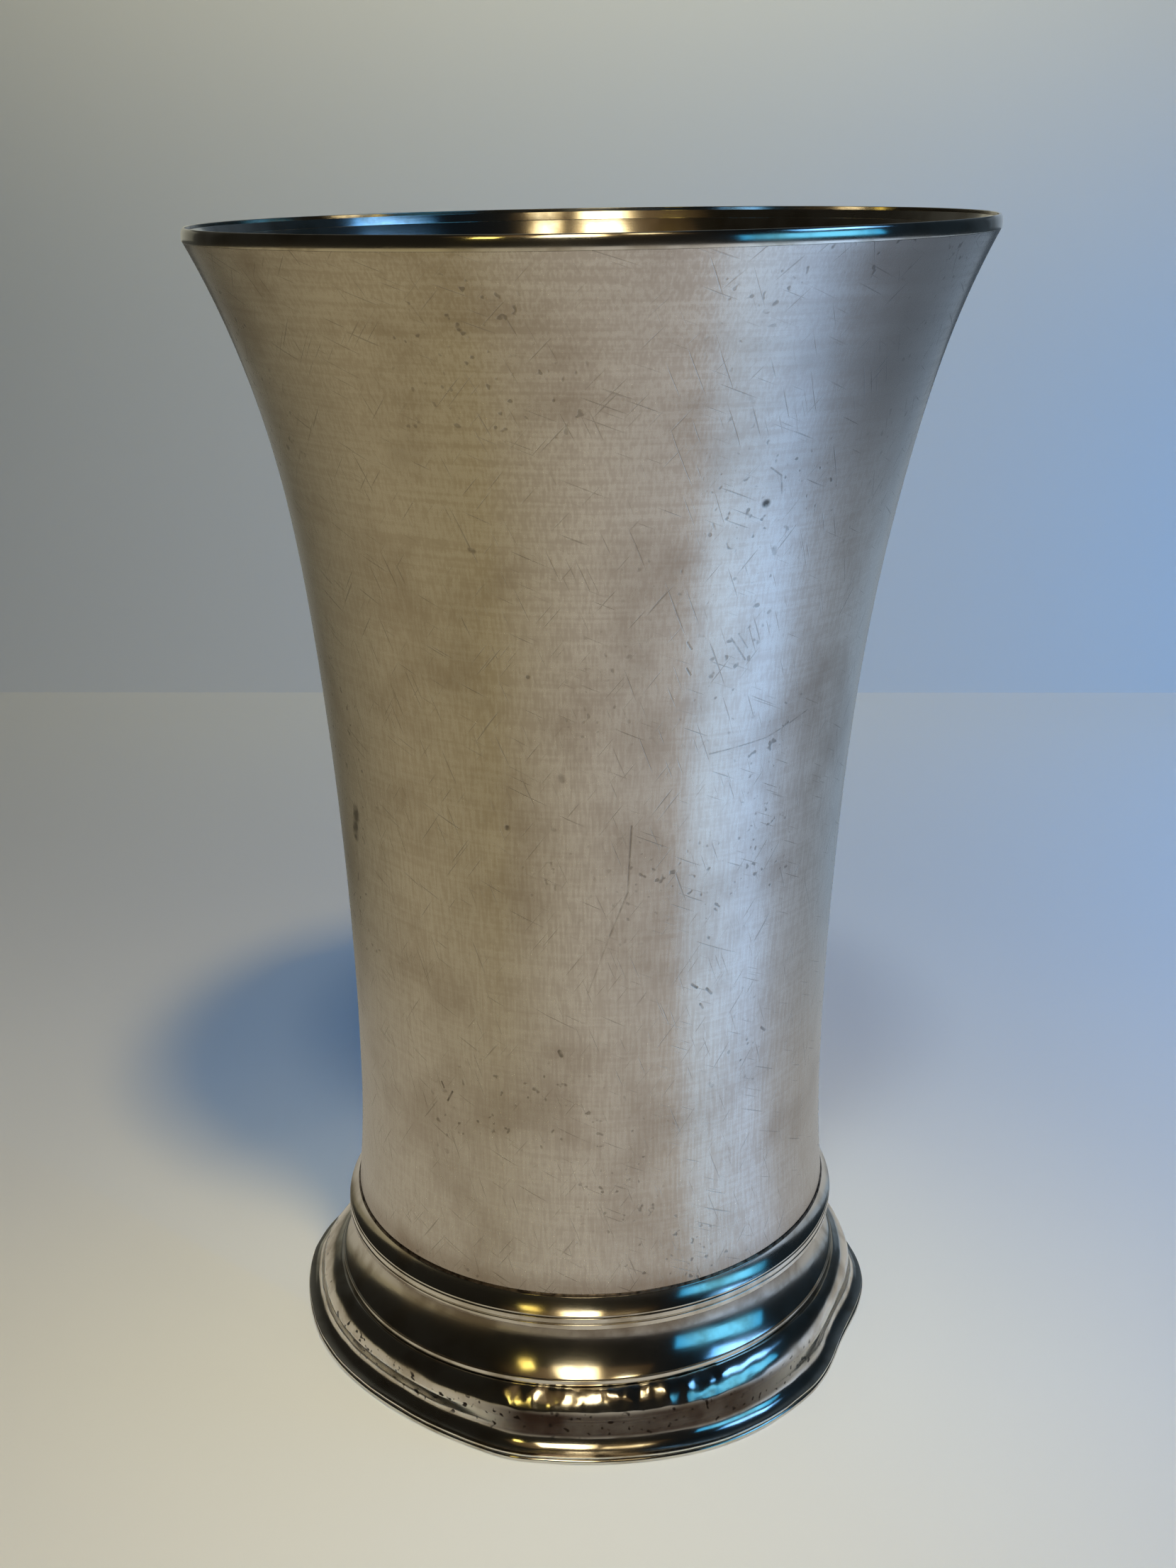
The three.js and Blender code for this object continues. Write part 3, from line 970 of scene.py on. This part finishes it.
# The cove is part of a circle that is upright at its top
cove_arc = (COVE_FLARE ** 2 + cove_height ** 2) / (2 * COVE_FLARE)
cove_centre = ledge_radius + STRIP_THICKNESS + cove_arc
cove_end = 180 + math.degrees(math.asin(cove_height / cove_arc))
back_arc = cove_arc + STRIP_THICKNESS
back_end = 180 + math.degrees(math.asin(cove_height / back_arc))
moulding_bore = cove_centre + back_arc * math.cos(math.radians(back_end))

upper_section = [(moulding_bore, upper_bottom), (lower_fillet_radius, upper_bottom)]
upper_section += [(lower_fillet_radius, cove_bottom)]
upper_section += arc(cove_centre, cove_top, cove_arc, cove_arc, cove_end, 180, COVE_STEPS)
upper_section += [(neck_radius, cove_top), (neck_radius, groove_bottom)]
upper_section += [(neck_radius - NECK_GROOVE_DEPTH, (groove_bottom + groove_top) / 2)]
upper_section += [(neck_radius, groove_top), (neck_radius, neck_top)]
upper_section += [(sleeve_radius, neck_top), (sleeve_radius, ledge_top), (ledge_radius, ledge_top)]
upper_section += arc(cove_centre, cove_top, back_arc, back_arc, 180, back_end)
turned_piece("upper_moulding_strip", upper_section, cove_silver, "upper_foot_moulding",
             wear=0.14, uneven=(0.07, 12, 1.0), seed=7)

# %% [markdown]
# The lower strip swells out in an ovolo, drops in an upright band and spreads in a hollow to its edge. The
# ovolo of a new foot is a full quarter round. This one is worn and pressed flat, so its curve is pulled
# only part of the way to the square corner. It is also the most uneven of the pieces.

# %% The lower moulding
OVOLO_STEP = 0.4
OVOLO_HEIGHT = 3.5
OVOLO_SWELL = 2.7
OVOLO_FULLNESS = 0.45
OVOLO_STEPS = 24
HOLLOW_HEIGHT = 2.5
HOLLOW_STEPS = 18
FLANGE_SPREAD = 2.3
FLANGE_EDGE = 0.4
BAND_ROWS = 4

ovolo_top_radius = lower_fillet_radius + OVOLO_STEP
band_radius = ovolo_top_radius + OVOLO_SWELL
band_bore = band_radius - STRIP_THICKNESS
band_top = ovolo_top - OVOLO_HEIGHT
band_bottom = flange_bottom + FLANGE_EDGE + HOLLOW_HEIGHT
back_swell = OVOLO_SWELL - STRIP_THICKNESS
back_height = OVOLO_HEIGHT - STRIP_THICKNESS
ovolo_foot = Vector((band_radius, band_top))
ovolo_head = Vector((ovolo_top_radius, ovolo_top))
ovolo_pull = ((ovolo_foot + ovolo_head) / 2).lerp(Vector((band_radius, ovolo_top)), OVOLO_FULLNESS)

lower_section = [(band_bore, flange_bottom), (flange_radius, flange_bottom)]
lower_section += arc(flange_radius, band_bottom, FLANGE_SPREAD, HOLLOW_HEIGHT, 270, 180, HOLLOW_STEPS)
lower_section += [(band_radius, band_bottom + (band_top - band_bottom) * i / BAND_ROWS)
                  for i in range(1, BAND_ROWS)]
lower_section += bow(ovolo_foot, ovolo_pull, ovolo_head, OVOLO_STEPS)
lower_section += [(moulding_bore, ovolo_top), (moulding_bore, ovolo_top - STRIP_THICKNESS)]
lower_section += arc(ovolo_top_radius, band_top, back_swell, back_height, 90, 0)
turned_piece("lower_moulding_strip", lower_section, battered_silver, "lower_foot_moulding",
             wear=0.14, uneven=(0.26, 9, 3.0), seed=11)

# %% [markdown]
# A flat wire under the flange is what the cup stands on, so its underside stays flat. Inside the foot,
# under the floor, a small run of solder joins the ledge to the wall. It is seen only from below.

# %% The wire under the foot, and the solder inside it
RIM_ROUND = 0.3
FOOT_SOLDER_LEG = 0.7

wire_top = top("foot_rim_wire")
wire_section = [(band_bore, 0.0)]
wire_section += arc(foot_radius - RIM_ROUND, wire_top / 2, RIM_ROUND, wire_top / 2, -90, 90)
wire_section += [(band_bore, wire_top)]
turned_piece("standing_wire", wire_section, polished_silver, "foot_rim_wire", wear=0.05)

inner_run = [(ledge_radius, wall_bottom), (ledge_radius - FOOT_SOLDER_LEG, wall_bottom)]
inner_run += [(ledge_radius, wall_bottom - FOOT_SOLDER_LEG)]
turned_piece("foot_solder_run", inner_run, solder, "foot_solder",
             wear=0.05, uneven=(0.03, 6, 1.0), seed=9)

# %% [markdown]
# The setting is a pale matt board with a pale backdrop that leans back behind it. Both are plain sheets.
# The silver mirrors a dim room instead of the backdrop, so the backdrop is hidden from reflections.

# %% Board and backdrop
BACKDROP_DISTANCE = 0.347
BACKDROP_LEAN = math.radians(35)
BACKDROP_LENGTH = 1.4
BOARD_HALF_WIDTH = 0.62
BOARD_FRONT = -0.62


def matt_paint(name, colour):
    """A dull paint of one colour."""
    paint = bpy.data.materials.new(name)
    paint.use_nodes = True
    shader = paint.node_tree.nodes["Principled BSDF"]
    shader.inputs["Base Color"].default_value = linear(colour)
    shader.inputs["Roughness"].default_value = 0.7
    return paint


def flat_sheet(name, front, back, paint):
    """A wide sheet from one edge to another, each given by its distance behind the cup and its height."""
    mesh = bpy.data.meshes.new(name)
    corners = [(side * BOARD_HALF_WIDTH, y, z) for y, z in (front, back) for side in (-1, 1)]
    mesh.from_pydata(corners, [], [(0, 1, 3, 2)])
    mesh.materials.append(paint)
    sheet = bpy.data.objects.new(name, mesh)
    bpy.context.collection.objects.link(sheet)
    return sheet


backdrop_foot = (BACKDROP_DISTANCE, 0.0)
backdrop_top = (BACKDROP_DISTANCE + BACKDROP_LENGTH * math.sin(BACKDROP_LEAN),
                BACKDROP_LENGTH * math.cos(BACKDROP_LEAN))
board = flat_sheet("board", (BOARD_FRONT, 0.0), backdrop_foot, matt_paint("matt_pale_board", "#d3d5cf"))
backdrop = flat_sheet("backdrop", backdrop_foot, backdrop_top, matt_paint("matt_grey_backdrop", "#c8cac4"))
backdrop.visible_glossy = False
print("the backdrop starts", BACKDROP_DISTANCE, "m behind the cup")

# %% [markdown]
# Two soft lamps above the front light the board, one warm and one white, and give the cup its two shadows.
# A wide window on the right adds cool light, so wide that the cup has no clear shadow from it. One lamp is
# turned to the backdrop. Silver throws light back on the board round the foot, and a narrow lamp from above
# stands in for that. The lamps are hidden from reflections, because the cards below take care of those.

# %% Lamps
BEFORE_CUP = (-0.03, -0.2, 0)
LAMP_DISTANCE = 1.3
LAMP_SIZE = (0.13, 0.13)
LAMP_SPREAD = 56
SOFT_WHITE = "#fff5d6"


def sky_point(turn, up, distance):
    """A point in a direction from the cup: degrees round from the front, degrees above the table, metres."""
    turn, up = math.radians(turn), math.radians(up)
    flat = distance * math.cos(up)
    return (flat * math.sin(turn), -flat * math.cos(turn), distance * math.sin(up))


def soft_lamp(name, place, target, size, spread, colour, watts, casts_shadow=True):
    """A rectangular lamp that lights the board and backdrop, and shows neither to the eye nor in mirrors."""
    data = bpy.data.lights.new(name, "AREA")
    data.shape = "RECTANGLE"
    data.size, data.size_y = size
    data.spread = math.radians(spread)
    data.color = linear(colour)[:3]
    data.energy = watts
    data.use_shadow = casts_shadow
    lamp = bpy.data.objects.new(name, data)
    lamp.location = place
    lamp.rotation_euler = (Vector(target) - Vector(place)).to_track_quat("-Z", "Y").to_euler()
    lamp.visible_glossy = False
    lamp.visible_camera = False
    bpy.context.collection.objects.link(lamp)


soft_lamp("right_lamp", sky_point(19, 65, LAMP_DISTANCE), BEFORE_CUP, LAMP_SIZE, LAMP_SPREAD, "#ffdf98", 0.9)
soft_lamp("left_lamp", sky_point(-4, 63, LAMP_DISTANCE), BEFORE_CUP, LAMP_SIZE, LAMP_SPREAD, "#eaf6ff", 0.4)
soft_lamp("cool_window", (0.42, 0.08, 0.22), (0.1, 0.15, 0.05), (0.36, 0.26), 180, "#4fa4ff", 1.9,
          casts_shadow=False)
soft_lamp("backdrop_lamp", (0, 0.2, 0.9), (0.05, 0.61, 0.43), (0.5, 0.2), 90, SOFT_WHITE, 1.7)
soft_lamp("foot_glow_lamp", (0, -0.03, 0.5), (0, -0.03, 0), (0.04, 0.04), 28, SOFT_WHITE, 0.017,
          casts_shadow=False)
print("lamps:", ", ".join(light.name for light in bpy.data.lights))

# %% [markdown]
# Past the board the room is plain pale grey to the eye. It adds almost no light to the cup, so the world's
# strength is higher for the rays that come straight from the camera than for all others.

# %% Room
ROOM_SEEN = 0.32
ROOM_LIGHT = 0.005

world = bpy.data.worlds.new("soft_room")
world.use_nodes = True
background = world.node_tree.nodes["Background"]
background.inputs["Color"].default_value = linear("#e8ebee")
is_camera = add_node(world.node_tree, "ShaderNodeLightPath", output="Is Camera Ray")
brightness = add_node(world.node_tree, MATH, [is_camera, ROOM_SEEN, ROOM_LIGHT], operation="MULTIPLY_ADD")
world.node_tree.links.new(brightness, background.inputs["Strength"])
bpy.context.scene.world = world
print("the room adds light of strength", ROOM_LIGHT)

# %% [markdown]
# In a studio, reflections in silver are shaped with pale and dark cards, apart from the lamps that light
# the table. The cards here glow softly. Each takes its colour from the direction in which it stands, seen
# from the cup, so that one card can go from warm to cool.

# %% A glow that changes with direction
def glow(name, colours, strength=1.0, rings=()):
    """A soft glow whose colour changes with the direction from the cup: pairs of degrees and hex colour.

    Each ring is a colour that mixes in near the cup, with its share and the distances where it fades."""
    paint = bpy.data.materials.new(name)
    paint.use_nodes = True
    tree = paint.node_tree
    tree.nodes.clear()
    place = add_node(tree, "ShaderNodeTexCoord", output="Object")
    x, y, _ = add_node(tree, "ShaderNodeSeparateXYZ", [place], None).outputs
    forwards = add_node(tree, MATH, [y, -1.0], operation="MULTIPLY")
    turn = add_node(tree, MATH, [x, forwards], operation="ARCTAN2")
    share = add_node(tree, MATH, [turn, 1 / math.tau, 0.5], operation="MULTIPLY_ADD")
    colour_ramp = add_node(tree, "ShaderNodeValToRGB", [share], None)
    stops = colour_ramp.color_ramp.elements
    while len(stops) < len(colours):
        stops.new(1.0)
    for stop, (degrees, colour) in zip(stops, colours):
        stop.position = (degrees + 180) / 360
        stop.color = linear(colour)

    flat_place = add_node(tree, "ShaderNodeCombineXYZ", [x, y])
    distance = add_node(tree, VECTOR_MATH, [flat_place], "Value", operation="LENGTH")
    layers = [(add_node(tree, RANGE, [distance, near_end, far_start, ring_share, 0.0], **SOFT), ring_colour)
              for ring_colour, ring_share, near_end, far_start in rings]
    colour = laid_over(tree, colour_ramp.outputs[0], layers)
    shine = add_node(tree, "ShaderNodeEmission", {"Color": colour, "Strength": strength})
    add_node(tree, "ShaderNodeOutputMaterial", {"Surface": shine}, None)
    return paint


TABLE_STRENGTH = 1.4
# Round the table: warm and cool lamp light, and painted shadows of the cup behind it to the left and right
ROUND_TABLE = ((-180, "#7a7d7a"), (-137, "#5b574a"), (-80, "#8d8369"), (-38, "#8b8062"), (0, "#a09b91"),
               (34, "#a8a8a9"), (45, "#c2d6ee"), (70, "#bcd8ff"), (86, "#97a6bb"), (106, "#818c9a"),
               (140, "#7f8fa0"), (180, "#7a7d7a"))
# Paler rings close to the cup are a painted pool of light
TABLE_LIGHT_POOLS = (("#a8a399", 0.55, 0.09, 0.2), ("#aca79b", 0.3, 0.056, 0.075))
table_glow = glow("table_glow", ROUND_TABLE, TABLE_STRENGTH, TABLE_LIGHT_POOLS)
print("the table's glow has", len(ROUND_TABLE), "colours round the cup")

# %% [markdown]
# The satin wall takes its shading from the table, which it mirrors softly. A flat ring just above the board
# is the table in the mirrors. Its colours are painted light and shade: warm lamp light on the left, blue
# window light on the right, painted shadows of the cup behind it on both sides, and a painted pool of
# light close to the cup. Like every card it is seen only by mirrors, and casts no light or shadow on the
# board.

# %% The table in the mirrors
TABLE_INNER = 0.05
TABLE_OUTER = 1.0
TABLE_LIFT = 0.0005
TABLE_STEP = 5


def mirror_card(name, points, faces, paint):
    """A glowing sheet that shows in reflections only."""
    mesh = bpy.data.meshes.new(name)
    mesh.from_pydata(points, [], faces)
    mesh.materials.append(paint)
    card = bpy.data.objects.new(name, mesh)
    bpy.context.collection.objects.link(card)
    for way in ("camera", "diffuse", "transmission", "shadow", "volume_scatter"):
        setattr(card, "visible_" + way, False)


def even_steps(start, end, longest_step):
    """Numbers from start to end in even steps."""
    count = math.ceil((end - start) / longest_step)
    return [start + (end - start) * i / count for i in range(count + 1)]


def grid_faces(columns, rows):
    """Four-sided faces of a grid of points that is listed row by row."""
    return [(j * columns + i, j * columns + i + 1, (j + 1) * columns + i + 1, (j + 1) * columns + i)
            for j in range(rows - 1) for i in range(columns - 1)]


table_turns = [math.radians(turn) for turn in even_steps(-180, 180, TABLE_STEP)]
table_points = [(r * math.sin(a), -r * math.cos(a), TABLE_LIFT)
                for r in (TABLE_INNER, TABLE_OUTER) for a in table_turns]
mirror_card("table_in_mirrors", table_points, grid_faces(len(table_turns), 2), table_glow)
print("the table in the mirrors has", len(table_turns) - 1, "sectors")

# %% [markdown]
# The dome is the dim room, which gives the polished foot its dark bands, and a low pale strip behind the
# cup is the backdrop. The other cards are the lamps, the ceiling near them and the window, placed where the
# foot and the rim show them. Each is a patch of a ball round the cup.

# %% The room in the mirrors
CARD_STEP = 3.5
DIM_ROOM = ((-180, "#8e908a"), (-160, "#4c4c47"), (-120, "#22211d"), (-40, "#1b1914"), (0, "#211e18"),
            (60, "#0e1419"), (120, "#1e2830"), (160, "#4a5560"), (180, "#8e908a"))
PALE_BACKDROP = ((-180, "#b4b6aa"), (-160, "#a3a396"), (-138, "#57564d"), (138, "#4a5866"), (160, "#94a2b0"),
                 (180, "#b4b6aa"))
LAMP = ((-17, "#8c7443"), (-13, "#fff2cc"), (-1, "#fff2cc"), (4, "#8c7443"))
SECOND_LAMP = ((11, "#8c7443"), (18, "#fff2cc"), (25, "#8c7443"))
SMALL_LAMP = ((-33, "#ffe57c"), (-26, "#ffe57c"))
CEILING = ((-45, "#3d3122"), (-10, "#7a6446"), (30, "#3d3122"))
WINDOW = ((38, "#2f8fc8"), (50, "#6accff"), (70, "#6accff"), (82, "#2f8fc8"))
UPPER_WINDOW = ((58, "#3f7fb8"), (68, "#7fbcff"), (84, "#7fbcff"), (92, "#2f5f90"))

# Each card: degrees it spans round from the front, degrees up, distance in metres, colours and strength
CARDS = {
    "dim_room": ((-180, 180), (-6, 90), 2.2, DIM_ROOM, 1.0),
    "backdrop": ((138, 222), (2, 16), 1.9, PALE_BACKDROP, 1.0),
    "lamp": ((-17, 4), (38, 62), 1.2, LAMP, 6.0),
    "second_lamp": ((11, 25), (53, 64), 1.2, SECOND_LAMP, 5.0),
    "small_lamp": ((-33, -26), (33, 42), 1.2, SMALL_LAMP, 4.0),
    "ceiling": ((-45, 30), (40, 75), 1.6, CEILING, 1.0),
    "window": ((38, 82), (10, 25), 1.2, WINDOW, 1.8),
    "upper_window": ((58, 92), (34, 46), 1.2, UPPER_WINDOW, 4.0),
}
for name, (turn_span, up_span, distance, colours, strength) in CARDS.items():
    turns = even_steps(*turn_span, CARD_STEP)
    ups = even_steps(*up_span, CARD_STEP)
    points = [sky_point(turn, up, distance) for up in ups for turn in turns]
    faces = grid_faces(len(turns), len(ups))
    mirror_card(name + "_in_mirrors", points, faces, glow(name + "_glow", colours, strength))
print("cards for the reflections:", ", ".join(CARDS))

# %% [markdown]
# The Standard view shows colours as they were written, where Blender's usual one would soften them.

# %% Colour
bpy.context.scene.view_settings.view_transform = "Standard"
